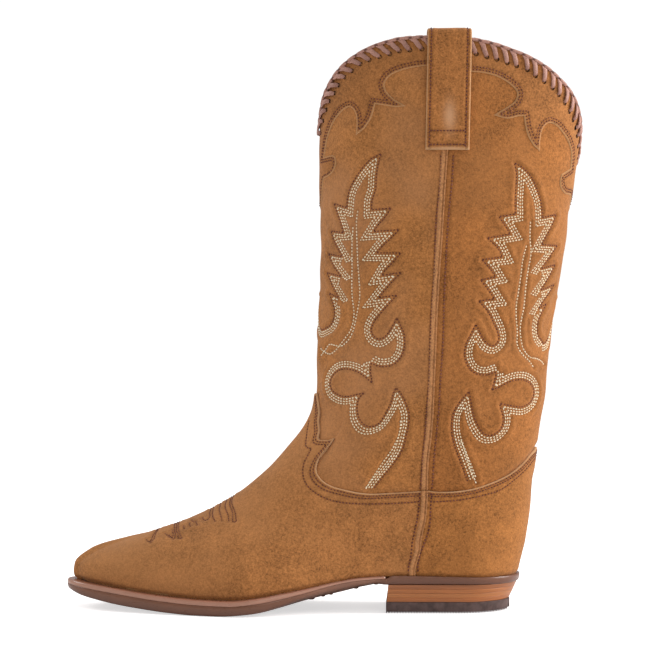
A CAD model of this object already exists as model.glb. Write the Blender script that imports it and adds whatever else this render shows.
"""Tall embroidered boot of suede panels, with laced collars, pull straps and a stacked heel.

The toe points to -X, +Z is up, the outer (left) side faces -Y and the heel rests near z = 0.
Shapes are worked out in millimetres and turned into metres as each mesh is built. Most pieces
are offsets of one outer surface, addressed by (angle, height): the angle is 0 at the front,
180 at the back and positive on the outer side.
"""
import math
import bpy
import numpy as np
from numpy.linalg import norm
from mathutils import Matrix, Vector, kdtree
from mathutils.geometry import delaunay_2d_cdt


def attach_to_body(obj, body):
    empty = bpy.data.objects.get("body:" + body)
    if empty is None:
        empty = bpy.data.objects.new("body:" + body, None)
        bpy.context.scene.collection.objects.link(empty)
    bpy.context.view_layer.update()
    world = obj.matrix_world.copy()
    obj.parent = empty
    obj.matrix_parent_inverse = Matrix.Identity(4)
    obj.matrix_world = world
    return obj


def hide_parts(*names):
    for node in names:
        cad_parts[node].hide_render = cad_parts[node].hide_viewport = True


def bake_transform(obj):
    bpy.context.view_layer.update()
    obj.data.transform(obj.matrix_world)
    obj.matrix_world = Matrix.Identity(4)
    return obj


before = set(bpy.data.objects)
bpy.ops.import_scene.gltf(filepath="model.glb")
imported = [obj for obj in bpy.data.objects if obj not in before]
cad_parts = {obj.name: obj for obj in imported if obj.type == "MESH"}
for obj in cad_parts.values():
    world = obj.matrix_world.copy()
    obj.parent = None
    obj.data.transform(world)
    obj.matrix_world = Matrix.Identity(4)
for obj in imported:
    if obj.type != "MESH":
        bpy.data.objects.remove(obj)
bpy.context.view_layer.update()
rng = np.random.default_rng(7)

# --- Small helpers


def pairs(text):
    """Number pairs written as words 'first,second'."""
    return [tuple(map(float, word.split(","))) for word in text.split()]


class Curve:
    """Smooth curve through (place, value) points that never overshoots them."""

    def __init__(self, points):
        self.x, self.y = np.array(points, float).T
        steps = np.diff(self.y) / np.diff(self.x)
        self.slope = np.zeros(len(self.x))
        self.slope[0], self.slope[-1] = steps[0], steps[-1]
        for i in range(1, len(steps)):
            before, after = steps[i - 1], steps[i]
            if before * after > 0:
                self.slope[i] = 2 * before * after / (before + after)

    def __call__(self, x):
        x = np.clip(np.asarray(x, float), self.x[0], self.x[-1])
        i = np.clip(np.searchsorted(self.x, x, side="right") - 1, 0, len(self.x) - 2)
        span = self.x[i + 1] - self.x[i]
        t = (x - self.x[i]) / span
        square, cube = t * t, t * t * t
        return ((2 * cube - 3 * square + 1) * self.y[i]
                + (cube - 2 * square + t) * span * self.slope[i]
                + (3 * square - 2 * cube) * self.y[i + 1]
                + (cube - square) * span * self.slope[i + 1])


def ramp(value, start, length):
    """Smooth rise from 0 at start to 1 one length further on; a negative length runs backwards."""
    t = np.clip((value - start) / length, 0, 1)
    return t * t * (3 - 2 * t)


def fall(value, start, length):
    return 1 - ramp(value, start, length)


def bell(distance, width):
    return np.exp(-(distance / width) ** 2)


def unit(vectors):
    return vectors / (norm(vectors, axis=-1, keepdims=True) + 1e-12)


def lengths(points):
    """Running length along a line of points."""
    return np.concatenate([[0], np.cumsum(norm(np.diff(points, axis=0), axis=1))])


def along(places, marks, rows):
    """Rows interpolated at places, given the mark of each row."""
    return np.stack([np.interp(places, marks, column) for column in rows.T], -1)


# --- Outer surface. Each curve is written as 'place,value' words.

# By height: x of the front and back ends of the section, and half the shaft's width
FRONT_X = Curve(pairs("""0,-225.6 15,-225.6 21.5,-227 26.4,-226.4 33.8,-218 41.2,-201 48.6,-177
    56,-156.2 63.3,-140.6 70.7,-127.6 78.1,-117 85.5,-108.2 92.9,-100.9 100.2,-94.5 107.6,-88.8
    115,-84.4 122.4,-81.4 130,-80 158,-78.1 188.8,-76.9 219.6,-76 250,-76.3 300,-76.3 350,-76.6"""))
BACK_X = Curve(pairs("""0,42 22,44.5 33.8,47.4 41.2,49.2 63.3,52.3 85.5,54.1 107.6,56.8 129.8,60
    151.9,62.9 174,65.8 196,69 218,72.6 240.5,76 262.6,79 281,81.8 300,84 350,85.5"""))
SHAFT_HALF = Curve(pairs("""0,31 60,33 90,34 110,35.3 130,36.8 160,39 200,41 250,42.5 300,43
    350,42.5"""))
# By height: length of the rounding at the front and back, and the power that shapes the front
FRONT_ROUND = Curve(pairs("""0,128 22,128 33,126 41,120 50,106 60,90 70,76 85,64 100,61 115,64
    130,70"""))
BACK_ROUND = Curve(pairs("0,32 22,32 40,38 60,46 85,57 110,66 130,70"))
FRONT_POWER = Curve(pairs("0,1.45 25,1.5 45,1.75 70,1.95 100,2"))
# By x: half the foot's width on either side
OUTER_HALF = Curve(pairs("""-230,42 -150,45 -128,46 -100,41.5 -60,33 -30,30 0,30.5 20,31
    50,30"""))
INNER_HALF = Curve(pairs("""-230,40 -150,42.5 -128,43 -100,37.5 -60,29 -30,27.5 0,29.5
    20,30.5 50,30"""))
# By x: height of the upper's lower edge and of the sole's underside
FOOT_Z = Curve(pairs("""-240,18.8 -226,17.2 -214,15.8 -200,14.2 -175,11.4 -150,9.7 -132,9.4
    -115,11 -100,13.6 -84,16.4 -68,19.6 -52,22 -30,23 -5,22.6 20,22.1 60,22"""))
SOLE_Z = Curve(pairs("""-236,12.6 -231,11.2 -222,8.4 -210,6 -200,4.4 -184,2.5 -168,1 -152,0.1
    -138,0.05 -118,1.6 -102,4.6 -80,9.2 -65,12.3 -49,15.8 -38,17.3 60,17.3"""))
# By height: angle at which the front and back panels meet
JOINT_ANGLE = Curve(pairs("""20,121 35,119.5 50,113.4 70,105.2 98,95 128,88.2 158,86.6 188,85.5
    218,84.8 350,84.5"""))
# By angle: height of the top edge, of the bend over the instep, and of the top of the vamp
# and counter, tongue included
RIM_Z = Curve(pairs("""0,295.5 4,297 9,303.5 15.6,313 22.3,319.8 29.3,326.5 37.8,333 48.9,339.4
    58,343 68,345.4 84,346 96,344.6 106,342 114,338.7 121.7,335.4 133,328.9 142,322.2
    150.6,315.6 157.9,308.8 162.5,303.5 167.5,297 173,286 177,279 180,276.5"""))
BEND_Z = Curve(pairs("""0,104 30,104.5 41,102 44,92 54,79 67,73 85,69 105,69.6 124,71.4
    138.5,78.2 151.6,88.5 168,97 180,99"""))
FOOT_TOP_Z = Curve(pairs("""0,131.6 10,131 21,120.5 25,115.7 31,109.8 38,105.2 46,105 47,95
    50,87 55,82 63,77.4 72,74.5 82.5,72.2 92,72.6 104,73.7 117,73.4 125,75.2 134.6,78.9
    142,82.4 151,88.2 162,94.8 172,98 180,99"""))


def half_width(x, z, outer):
    front, back = FRONT_X(z), BACK_X(z)
    middle = (back - front) / 2
    high = ramp(z, 128, 8)
    front_round = FRONT_ROUND(z) * (1 - high) + middle * high
    back_round = BACK_ROUND(z) * (1 - high) + middle * high
    from_front = np.clip((x - front) / front_round, 0, 1)
    from_back = np.clip((back - x) / back_round, 0, 1)
    front_taper = np.sqrt(np.clip(1 - (1 - from_front) ** FRONT_POWER(z), 0, 1))
    back_taper = np.sqrt(np.clip(1 - (1 - from_back) ** 2, 0, 1))
    leg = ramp(z, 22, 78)
    foot = np.where(outer, OUTER_HALF(x), INNER_HALF(x))
    return (foot * (1 - leg) + SHAFT_HALF(z) * leg) * front_taper * back_taper


def skin(angle, z):
    """Point of the outer surface."""
    angle, z = np.broadcast_arrays(np.asarray(angle, float), np.asarray(z, float))
    front, back = FRONT_X(z), BACK_X(z)
    x = (front + back) / 2 - (back - front) / 2 * np.cos(np.radians(angle))
    side = np.where(np.sin(np.radians(angle)) >= 0, 1, -1)
    centre_y = 7 * ramp(x, -95, -150) * fall(z, 60, 60)
    return np.stack([x, centre_y - side * half_width(x, z, side > 0), z], -1)


def skin_normal(angle, z):
    step = 0.3
    return unit(np.cross(skin(angle + step, z) - skin(angle - step, z),
                         skin(angle, z + step) - skin(angle, z - step)))


def fold(angle):
    """Angle from the front, 0 to 180, on whichever side."""
    turn = np.mod(angle, 360)
    return np.where(turn > 180, 360 - turn, turn)


def foot_height(angle):
    """Height at which the surface meets the sole."""
    z = FOOT_Z(skin(angle, 18)[..., 0])
    for _ in range(3):
        z = FOOT_Z(skin(angle, z)[..., 0])
    return z


# Length around the shaft, used to lay out rows of stitching in true millimetres
_angles = np.arange(-180, 541, 0.5)
_arcs = lengths(skin(_angles, 210))
_arcs -= np.interp(0, _angles, _arcs)


def to_arc(angle):
    return np.interp(angle, _angles, _arcs)


def to_angle(arc):
    return np.interp(arc, _arcs, _angles)


def to_skin(line):
    return skin(to_angle(line[:, 0]), line[:, 1])


# --- Paths over the surface: 'angle,height' words, with '|' at sharp corners

PATHS = {
    "front_side": """57.5,275.9 56.4,271.5 55.3,262.9 55.2,254.8 53.5,247.7 53.3,242.3 |
    63.5,243.3 60.6,238 56.8,232.9 54.7,229.3 | 67.8,230.3 63.5,224.8 59.3,220.1 56.7,216.5 |
    69.3,216.4 65.1,210.4 61.8,206.3 60.2,203 | 70,204.8 65.8,199.3 62,193.7 59.4,189.6 |
    68.9,191.3 64.6,185.4 60.5,179.7 57.4,174.6 56.5,169.8 58.5,166.2 61.9,165 65,167.4
    67.5,172.2 | 69.7,177.6 71.8,172.8 73.8,168 74.5,161.5 73.6,155.5 70.4,150.4 66.3,148.6
    61.3,148.8 57.8,150.3 57.5,145.4 | 59,138.6 54.6,142.2 49.4,145.4 41.8,146.9 35.7,145.8
    30.3,141.9 28.8,138.2 31.3,134 37.3,131.1 43.5,130.2 49.5,131.3 | 54.9,132.5 52.2,129.5
    51.9,124.1 53.9,119 58.8,114 63.4,112.4 67.1,114.3 68.9,120.4 70.4,126.7 70.9,132.1 |
    72.1,135.7 74.9,132.1 77.5,127.3 80.3,121.4 81.9,115.6 83,108.8 84.7,98.2 84.2,89.8
    83.4,82.9 83.3,75.1""",
    "front_tail": "77.5,116.6 79.4,108.8 80,99.8 79.2,89.8 79.4,80.5 80.3,74.5",
    "front_centre": """57.5,275.9 52.3,272.9 47.9,268.2 43.7,262.4 39.9,255.9 38.2,249.9
    37.6,244.2 | 26.5,247.0 29.4,241.2 32.5,235.0 34.9,229.2 | 22.9,230.5 26.4,224.3
    30.8,218.8 33.9,214.8 | 19.9,216.8 24.5,211.0 29.5,206.4 33.6,202.8 | 18.7,205.4
    23.7,199.5 28.4,194.3 32.5,190.0 | 22.4,192.8 26.6,187.3 29.1,181.9 28.6,177.0 25.7,173.4
    21.6,171.9 13.5,170.6 8.5,173.2 5.0,178.5 3.6,184.5 3.4,190.0""",
    "front_axis_1": """45.2,242.5 44.2,235.9 44.7,223.3 45.4,211.3 47,201.6 48.2,190.8
    47.6,183.6 46.7,177 45.1,169.8 42,164.4 36.9,160.7 32.4,160.9 25.6,161.5 21.7,158.2
    15.1,154.5""",
    "front_axis_2": """41.9,232.7 41.3,220.4 42,205.3 43.3,189.7 45.3,179.1 43.7,171
    39.7,165.6 35.3,160.9 31.7,157.7 26.8,155.8 20.4,157.1 13.3,159.3""",
    "back_side": """119.1,270.2 120.6,264.3 121.3,254.1 121.7,245.2 122.3,239.8 | 113.9,238.1
    117.4,233.1 121,227.8 | 109.3,225.3 115,219.6 118.1,214.1 | 107.7,212.4 112.8,206.6
    115.9,202.1 | 108.4,200.3 113.1,194.3 116.7,188.9 | 108.6,187.7 113.7,181.8 117.5,175.2
    120.7,168.9 121.6,164.1 119,161 115,162.6 111.6,167.4 | 108.4,173.8 106.2,167.4
    104.4,161.5 104.5,154.5 107.4,147.7 111.7,144.1 117,143.4 122.3,144.8 122.6,142.2 |
    121.2,134.2 126,136.5 133.2,139.9 141.6,140.2 148.8,137 152.2,132.1 150.1,127.1
    143.1,124.1 135.7,124.6 | 127.2,126.1 131,116.2 130.6,111.4 127.1,107.5 122.3,107.6
    117.3,112.5 113.4,118.9 111,125.5 | 108.8,133.5 105.1,127.7 102.7,121.5 102.8,115.3
    104.6,108.4 107.8,101.5 112.8,93.1 121.1,79.2""",
    "back_tail": "110.1,104.5 115.3,95.5 121.1,85.2 125.6,77.9",
    "back_centre": """119.1,270.2 123.7,267.6 128.9,262.4 133.4,255.7 136.8,248.6 138.3,242.6
    139.0,238.1 | 151.0,240.3 148.0,233.8 144.4,227.1 141.9,221.9 | 157.6,221.7 152.3,216.4
    147.9,211.5 144.4,207.5 | 158.5,210.2 154.3,204.3 150.2,198.8 146.6,194.6 | 161.5,198.1
    156.2,192.8 150.9,187.9 147.5,183.4 | 154.9,186.4 151.5,181.3 148.6,175.8 148.8,171.0
    151.2,166.7 156.4,163.7 158.0,162.4 163.0,163.4 168.0,168.0 171.5,174.0 173.0,181.0
    173.6,188.0""",
    "back_axis_1": """131.4,235.8 132.6,226.8 134.8,216.7 134.5,206.2 134.6,195.6 135,183.6
    134.5,177.9 134.3,171.6 135.5,165.6 138.4,159.2 144.3,154.3 152.9,152.8 158,151.5
    163.2,149.2""",
    "back_axis_2": """131.4,221.4 130.1,212.4 130.3,202.8 130.2,193.8 129.8,186 130.6,178.8
    132.4,170.4 133.7,161.4 138.2,155.9 143.8,152.2 149,148""",
    "collar_front": """77.7,327.8 73.6,327.3 66.9,325.5 61.2,322.1 58.7,317.2 59.7,312.9
    63.7,307.7 | 68.8,304 64.2,303.5 59.2,304.6 54,305.7 | 53.5,303.3 51.9,297.4 48.5,291.6 |
    43.2,287.3 43.7,292.4 43.4,298.4 41.7,302.7 39.1,304.7 34.8,303.4 28,298.7 22.9,293.6
    18.6,286.2 16.4,279.4 | 14.8,275.8 26.7,275.8 28.3,271.5 25.5,266.5 19.6,263.7 14,262.5
    9.6,252.3 2.4,245.2""",
    "collar_back": """96.9,324 102.2,323.4 108.5,321.2 114.4,316.8 117.5,312.1 116.6,307.3
    113.4,303.8 | 106.8,298.5 113.1,296.6 118.7,298.2 | 121.4,298.3 122.3,293 124.5,286.5
    128.2,281 | 132.3,277.8 131.8,285.2 132.6,291.6 135.8,294.8 140.7,293.8 146.4,289.9
    153.4,284.3 159.4,276.7 161,268.7 | 150.8,264.8 150.1,261.1 152.3,256.4 158.7,253.3
    170.1,252.3 180,241.6 180,234.3""",
    "vamp": """10.5,131.2 21.6,120.4 24.6,115.7 31,109.8 34.9,104.7 43,104.1 | 46.1,105.6
    46.1,100.8 45.8,93.3 49.1,87 54.8,82.1 63.1,77.4 71.8,74.5 82.5,72.1 92,72.6 103,73.6""",
    "vamp_third": """11.4,115.3 29.4,100 35.4,98.6 | 38.3,90.6 42.6,85.4 51.8,77.8 63.3,71.4
    73.3,67.5 83.7,66.1 95.3,66.3 104.8,67.4""",
    "counter": """105.1,73.9 109,73.2 117,73.4 125.4,75.2 134.6,78.9 142,82.4 151.1,88.2
    161.8,94.8 180,98.7""",
    "counter_third": """109.8,67.2 118.9,68.1 129.7,70.7 139.4,74.1 149.4,80.8 163.7,90
    180,94.1""",
    "seam_fore": """85.1,275.7 85.6,265.6 85.4,251.4 84.8,235.3 85.3,216.9 85.9,201.4
    86.1,186.5 86.6,169.8 88.1,139.4 89,121.4 93.4,101.6 100.1,79.9 103.4,70.5 109.6,55.1
    118,35.8 119.9,24.4""",
    "seam_aft": """90.5,275.7 90.8,259.1 90.3,238.3 90.5,216.9 91.5,192.5 93,163.9 93.5,145.3
    94,133.4 95.4,117.8 99,100.4 104.2,82.3 109.4,66.6 118.8,43.7 123.1,22.8""",
}

TOE_PATHS = [
    "12.5,67.5 31.3,62.0 43.9,56.0",
    "12.0,66.9 30.5,61.6 43.7,55.5 43.9,56.0",
    "12.5,65.2 30.7,60.1 40.4,55.8",
    "14.5,62.8 27.4,59.3 36.4,55.9",
    "15.6,60.4 27.0,57.4 34.2,55.1",
    "11.2,60.4 22.8,57.8 26.9,55.6 17.0,57.1",
    "20.3,54.8 29.5,52.7",
    "22.5,54.0 15.0,54.9",
    "19.7,53.6 28.5,51.4",
    "21.4,51.8 28.9,50.0",
    "21.8,50.6 31.9,47.9 39.9,45.3",
    "22.1,50.1 32.4,47.3 39.8,45.0 39.9,45.3",
    "21.9,49.7 31.3,47.2 37.9,44.6 32.6,45.7 23.9,47.3",
    "22.7,49.1 31.0,46.9 34.9,45.4 28.1,46.9",
    "18.8,46.3 26.0,44.3 30.4,42.5 24.5,43.6",
    "17.8,46.9 27.2,44.4 32.9,41.7",
]
TOE_SEPARATE = (6, 7, 8, 9, 13)     # paths that stop short of the ridge; the others cross it

# Lace holes of one side, from the front to the back
HOLES = pairs("""7.5,291.0 13.0,298.0 18.5,304.5 22.2,309.4 27.4,313.9 30.9,318.5 35.6,323
    40.8,326.3 46,330.1 51.1,332.2 56.3,333.8 61.2,335.3 65.7,336.9 70.4,337.3 75.7,337.8
    80.3,337.9 84.9,337.6 89.5,337.2 94.1,336.3 98.7,334.7 103.3,333 107.8,331.7 112.5,329.7
    117,328.1 122.4,325.9 126.7,322.5 131.6,319.2 136.9,315.7 141.5,312 146.4,307.4
    150.8,302.5 155.1,297.7 159.2,293.1 163,288.5 167.2,282.5 172.0,276.0 177.0,270.0""")


def dense(points, step=0.5):
    """Straight segments cut to about the given step."""
    points = np.asarray(points, float)
    out = [points[:1]]
    for start, end in zip(points[:-1], points[1:]):
        count = max(1, int(math.ceil(norm(end - start) / step)))
        out.append(start + (end - start) * (np.arange(1, count + 1) / count)[:, None])
    return np.vstack(out)


def extended(points):
    return np.vstack([2 * points[0] - points[1], points, 2 * points[-1] - points[-2]])


def spline(points, step=0.5):
    """Centripetal Catmull-Rom curve through points."""
    if len(points) < 3:
        return dense(points, step)
    padded = extended(points)
    out = []
    for i in range(1, len(padded) - 2):
        window = padded[i - 1:i + 3]
        knots = [0.0]
        for start, end in zip(window[:-1], window[1:]):
            knots.append(knots[-1] + max(norm(end - start), 1e-6) ** 0.5)
        count = max(2, int(norm(window[2] - window[1]) / step) + 1)
        t = np.linspace(knots[1], knots[2], count, endpoint=False)[:, None]

        def between(j, k, first, second):
            span = knots[k] - knots[j]
            return (knots[k] - t) / span * first + (t - knots[j]) / span * second

        narrow = [between(j, j + 1, window[j], window[j + 1]) for j in range(3)]
        wide = [between(j, j + 2, narrow[j], narrow[j + 1]) for j in range(2)]
        out.append(between(1, 2, *wide))
    out.append(points[-1:])
    return np.vstack(out)


def uniform_spline(points, step):
    """Catmull-Rom curve with even knots."""
    padded = extended(points)
    out = []
    for i in range(1, len(padded) - 2):
        before, start, end, after = padded[i - 1:i + 3]
        count = max(2, int(norm(end - start) / step) + 1)
        t = (np.arange(count) / count)[:, None]
        out.append(0.5 * (2 * start + (end - before) * t
                          + (2 * before - 5 * start + 4 * end - after) * t * t
                          + (3 * start - before - 3 * end + after) * t ** 3))
    out.append(points[-1:])
    return np.vstack(out)


def runs(text):
    """Smooth runs between corners and the straight joins across them, in (arc, height)."""
    parts = [np.array([(to_arc(angle), z) for angle, z in pairs(part)])
             for part in text.split("|")]
    out = []
    for i, part in enumerate(parts):
        out.append(spline(part))
        if i + 1 < len(parts):
            out.append(dense([part[-1], parts[i + 1][0]]))
    return [run for run in out if len(run) > 1]


def gap_to(points, others):
    """Distance from each point to the nearest of the others."""
    out = np.empty(len(points))
    chunk = 400
    for i in range(0, len(points), chunk):
        apart = points[i:i + chunk, None, :] - others[None, :, :]
        out[i:i + chunk] = np.sqrt((apart * apart).sum(-1).min(1))
    return out


def inside(points, outline):
    """Which points lie inside a closed outline."""
    x, y = points[:, 0], points[:, 1]
    within = np.zeros(len(points), bool)
    for (x0, y0), (x1, y1) in zip(outline, np.roll(outline, -1, 0)):
        if y0 == y1:
            continue
        level = (y0 > y) != (y1 > y)
        within ^= level & (x < (x1 - x0) * (y - y0) / (y1 - y0) + x0)
    return within


def split(line, keep, gap=1.3):
    """Pieces of a line where keep holds, cut where neighbours are further apart than the gap."""
    out, current = [], []

    def close():
        if len(current) > 2:
            out.append(np.array(current))

    for point, kept in zip(line, keep):
        if not kept or (current and norm(point - current[-1]) > gap):
            close()
            current = []
        if kept:
            current.append(point)
    close()
    return out


def left_of(tangents):
    return np.stack([-tangents[:, 1], tangents[:, 0]], 1)


def beside(path, side, offset, against=None, mitre=2.6):
    """Rows at an offset beside a path, mitred on the outside of each corner."""
    base = np.vstack(path) if against is None else against
    line = []
    for i, run in enumerate(path):
        tangent = unit(np.gradient(run, axis=0))
        shifted = run + offset * (left_of(tangent) * side)
        if i:
            turn = (last[0] * tangent[0][1] - last[1] * tangent[0][0]) * side
            system = np.array([last, -tangent[0]]).T
            if turn < -0.15 and abs(np.linalg.det(system)) > 0.15:
                reach = np.linalg.solve(system, shifted[0] - end)[0]
                if reach > 0:
                    tip = end + last * min(reach, mitre * offset)
                    line.append(dense([end, tip, shifted[0]], 0.4)[1:-1])
        line.append(shifted)
        last, end = tangent[-1], shifted[-1]
    line = np.vstack(line)
    return split(line, gap_to(line, base) >= offset - 0.14)


# --- Meshes


def build(name, verts, quads, tris=None, attrs=None, sharp=None):
    mesh = bpy.data.meshes.new(name)
    verts = np.asarray(verts, np.float32) * 0.001
    mesh.vertices.add(len(verts))
    mesh.vertices.foreach_set("co", verts.ravel())
    faces = [np.asarray(part, np.int32) for part in (quads, tris) if part is not None]
    loops = np.concatenate([part.ravel() for part in faces])
    sizes = np.concatenate([np.full(len(part), part.shape[1], np.int32) for part in faces])
    mesh.loops.add(len(loops))
    mesh.loops.foreach_set("vertex_index", loops)
    mesh.polygons.add(len(sizes))
    starts = np.concatenate([[0], np.cumsum(sizes)[:-1]]).astype(np.int32)
    mesh.polygons.foreach_set("loop_start", starts)
    mesh.polygons.foreach_set("use_smooth", np.ones(len(sizes), bool))
    mesh.update(calc_edges=True)
    mesh.validate()
    for key, values in (attrs or {}).items():
        layer = mesh.attributes.new(key, "FLOAT", "POINT")
        layer.data.foreach_set("value", np.asarray(values, np.float32))
    obj = bpy.data.objects.new(name, mesh)
    bpy.context.scene.collection.objects.link(obj)
    if sharp:
        mesh.set_sharp_from_angle(angle=math.radians(sharp))
    return obj


def outward(verts, quads, tris=None):
    """The faces of a closed piece, turned right side out."""
    faces = np.vstack([quads[:, :3], quads[:, [0, 2, 3]]] + ([] if tris is None else [tris]))
    first, second, third = (verts[faces[:, i]] for i in range(3))
    if (first * np.cross(second, third)).sum() < 0:
        quads = quads[:, ::-1]
        tris = None if tris is None else tris[:, ::-1]
    return verts, quads, tris


def solid(name, verts, quads, tris=None, **options):
    return build(name, *outward(verts, quads, tris), **options)


def lattice(rows, columns, wrap_rows=False, wrap_columns=False):
    """Quads over a grid of points stored row by row."""
    i, j = np.meshgrid(np.arange(rows - 1 + wrap_rows), np.arange(columns - 1 + wrap_columns),
                       indexing="ij")
    up, right = (i + 1) % rows, (j + 1) % columns
    return np.stack([i * columns + j, i * columns + right, up * columns + right,
                     up * columns + j], -1).reshape(-1, 4)


REVERSED = [0, 3, 2, 1]


def shell(name, outer, inner, **attrs):
    """Closed shell: a fine outer grid, and an inner one that keeps every fourth point."""
    step = 4
    half = step // 2
    inner = inner[::step, ::step]
    rows, columns = outer.shape[:2]
    count = rows * columns
    inner_columns = inner.shape[1]
    quads = [lattice(rows, columns),
             lattice(inner.shape[0], inner_columns)[:, REVERSED] + count]
    ring = ([(0, x) for x in range(columns)] + [(y, columns - 1) for y in range(1, rows)]
            + [(rows - 1, x) for x in range(columns - 2, -1, -1)]
            + [(y, 0) for y in range(rows - 2, 0, -1)])
    fine = [y * columns + x for y, x in ring]
    coarse = [count + (y // step) * inner_columns + x // step for y, x in ring]
    tris = []
    for start in range(0, len(ring), step):
        edge = [fine[(start + i) % len(ring)] for i in range(step + 1)]
        first, second = coarse[start], coarse[(start + step) % len(ring)]
        for i in range(step):
            tris.append((edge[i + 1], edge[i], first if i < half else second))
        tris.append((edge[half], first, second))
    inner = inner.reshape(-1, 3)
    attrs = {key: np.concatenate([values.ravel(), np.zeros(len(inner))])
             for key, values in attrs.items()}
    return solid(name, np.vstack([outer.reshape(-1, 3), inner]), np.vstack(quads),
                 np.array(tris), attrs=attrs)


def tube(rings):
    """Capped sweep of closed sections, given as (section, point, xyz)."""
    count, sides = rings.shape[:2]
    last = (count - 1) * sides
    tris = []
    for i in range(1, sides - 1):
        tris += [(0, i + 1, i), (last, last + i, last + i + 1)]
    return rings.reshape(-1, 3), lattice(count, sides, wrap_columns=True), np.array(tris)


class Batch:
    """Many small closed shapes gathered into one mesh."""

    def __init__(self):
        self.verts, self.quads, self.tris, self.tints, self.count = [], [], [], [], 0

    def add(self, verts, quads, tris=None, tint=0.5):
        self.verts.append(verts)
        self.quads.append(quads + self.count)
        if tris is not None:
            self.tris.append(tris + self.count)
        self.tints.append(np.full(len(verts), tint))
        self.count += len(verts)

    def make(self, name):
        return build(name, np.vstack(self.verts), np.vstack(self.quads),
                     np.vstack(self.tris) if self.tris else None,
                     attrs={"tint": np.concatenate(self.tints)})


# One stitch: five rings of six points, as shares of its half length and radius
STITCH_SIDES = 6
STITCH_PLACES = np.array([-1, -0.62, 0, 0.62, 1])
STITCH_RADII = np.array([0.42, 0.92, 1, 0.92, 0.42])
STITCH_LIFTS = np.array([-0.55, 0.02, 0.22, 0.02, -0.55])


def sew(batch, points, normals, pitch, radius, fill, lift):
    """Stitches along a line; fill is the share of the pitch that thread covers."""
    marks = lengths(points)
    if marks[-1] < pitch * 0.7:
        return
    count = max(1, int(round(marks[-1] / pitch)))
    step = marks[-1] / count
    centres = (np.arange(count) + 0.5) * step
    places = centres[:, None] + STITCH_PLACES[None] * step * fill / 2
    centre = along(places, marks, points)
    normal = unit(along(places, marks, normals))
    side = unit(np.cross(unit(np.gradient(centre, axis=1)), normal))
    rise = STITCH_LIFTS * radius / 0.33 * 0.55 + lift
    centre = centre + normal * rise[None, :, None]
    turn = np.arange(STITCH_SIDES) * 2 * math.pi / STITCH_SIDES
    around = (np.cos(turn)[:, None] * side[:, :, None]
              + np.sin(turn)[:, None] * normal[:, :, None])
    verts = centre[:, :, None] + (radius * STITCH_RADII)[None, :, None, None] * around
    rings = len(STITCH_PLACES)
    end = (rings - 1) * STITCH_SIDES
    caps = np.array([[0, 1, 2, 3], [0, 3, 4, 5], [end + 3, end + 2, end + 1, end],
                     [end + 5, end + 4, end + 3, end]])
    quads = lattice(rings, STITCH_SIDES, wrap_columns=True)[:, REVERSED]
    size = rings * STITCH_SIDES
    firsts = (np.arange(count) * size)[:, None, None]
    batch.add(verts.reshape(-1, 3), (firsts + np.vstack([quads, caps])[None]).reshape(-1, 4),
              tint=np.repeat(rng.uniform(0, 1, count), size))


def distance_to(lines):
    """Function giving the distance of points to the nearest sample of some 3-D lines."""
    samples = np.vstack(lines)
    tree = kdtree.KDTree(len(samples))
    for i, point in enumerate(samples):
        tree.insert(point, i)
    tree.balance()

    def distance(points):
        found = [tree.find(point)[2] for point in points.reshape(-1, 3).tolist()]
        return np.array(found).reshape(points.shape[:-1])

    return distance


_wave_rng = np.random.default_rng(21)
WAVE_DIRECTIONS = _wave_rng.normal(size=(40, 3))
WAVE_DIRECTIONS /= norm(WAVE_DIRECTIONS, axis=1, keepdims=True)
WAVE_PHASES = _wave_rng.uniform(0, 6.28, 40)


def rolling(points, short, long, seed):
    """Soft unevenness, about -1..1, with wavelengths from short to long."""
    count = 14
    out = np.zeros(points.shape[:-1])
    for i in range(count):
        direction = WAVE_DIRECTIONS[(i * 3 + seed * 7) % 40]
        wave = short * (long / short) ** (i / (count - 1))
        phase = WAVE_PHASES[((i * 3 + seed * 7) % 40 + seed) % 40]
        out += np.sin(points @ direction * (2 * math.pi / wave) + phase) * (wave / long) ** 0.4
    return out / (count * 0.36)


def roughen(verts, amount, short, long, seed):
    """Uneven the width of a sole or heel piece in place."""
    verts[:, 1] += amount * rolling(verts, short, long, seed) * np.sign(verts[:, 1])


# --- Offsets of the leather from the surface


def shaft_offset(angle, z):
    """The shaft tucks in above the foot; its back stands fuller."""
    turn = fold(angle)
    above = z - FOOT_TOP_Z(turn)
    back = ramp(turn, 118, 30)
    return (-1.35 * fall(above, 0, 22) * (1 - 0.72 * back) - 0.5 * fall(above, -2.5, 3)
            + back * ramp(above, -1, 6) * (0.65 * fall(z, 235, 20) + fall(z, 125, 40))
            - 0.35 * fall(turn, 25, 20) * ramp(z, 220, 40))


def foot_offset(angle, z):
    """The forepart lies lower, its front end and the back of the heel stand fuller."""
    turn = fold(angle)
    return (0.2 - 1.2 * fall(z, 60, 24) * fall(turn, 60, 40)
            + 2.6 * fall(turn, 1.5, 7) * fall(z, 34, 14)
            + ramp(turn, 118, 30) * (0.5 + 0.95 * ramp(z, 78, 10)))


def collar_offset(angle, z):
    return 0.78 - 0.45 * fall(fold(angle), 25, 20)


def seam_angle(z):
    """Angle of the visible side seam: a little behind the joint high on the shaft."""
    return JOINT_ANGLE(z) + 0.6 + 1.75 * ramp(z, 72, 60)


# --- Rows of stitching, in (arc, height)

ROWS = {name: runs(text) for name, text in PATHS.items()}
BACK_ARC = to_arc(179.2)    # rows of one half stop just short of the middle of the back


def both(lines):
    return list(lines) + [line * [-1, 1] for line in lines]


def clipped(lines):
    cut = [line[np.abs(line[:, 0]) < BACK_ARC] for line in lines]
    return [line for line in cut if len(line) > 3]


def inset_rows(name, side, offsets):
    return [line for offset in offsets for line in beside(ROWS[name], side, offset)]


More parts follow.
